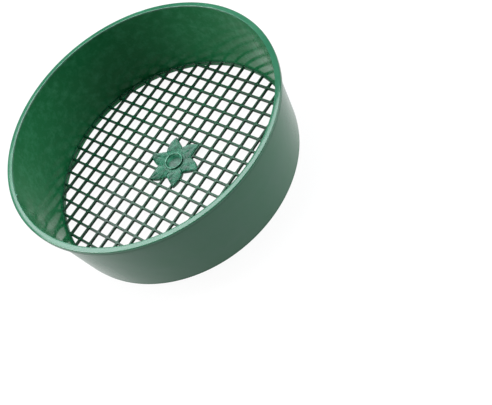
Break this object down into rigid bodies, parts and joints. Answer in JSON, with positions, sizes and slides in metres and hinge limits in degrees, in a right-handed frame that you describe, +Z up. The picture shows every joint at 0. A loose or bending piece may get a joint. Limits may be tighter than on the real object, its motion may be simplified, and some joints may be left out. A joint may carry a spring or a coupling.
{
  "type": "soil sieve",
  "caption": "Round moulded garden sieve: a tapered open drum with a flanged rim, a square mesh floor and a flower-shaped plate at its centre.",
  "frame": {"origin": "centre of the resting circle of the foot band, on the surface that the sieve stands on", "axes": "+Z up along the round axis, out of the open mouth; +X and +Y along the mesh bars"},
  "size_m": [0.3599, 0.36, 0.112],
  "materials": {
    "drum_plastic": "glossy green polypropylene, as moulded",
    "mesh_plastic": "the same green polypropylene on the mesh bars",
    "flower_plastic": "the same green polypropylene, with faint flow marks around the gate"
  },
  "bodies": {
    "root": {"side_wall": "drum_plastic", "foot_band": "drum_plastic", "mesh_ledge": "mesh_plastic", "mesh_grid": "mesh_plastic", "rim_lip": "drum_plastic", "rim_skirt": "drum_plastic", "rim_nib": "drum_plastic", "petal_1": "flower_plastic", "petal_2": "flower_plastic", "petal_3": "flower_plastic", "petal_4": "flower_plastic", "petal_5": "flower_plastic", "petal_6": "flower_plastic", "flower_hub": "flower_plastic", "flower_button": "flower_plastic", "under_ring": "flower_plastic", "gate_boss": "flower_plastic"}
  },
  "joints": []
}
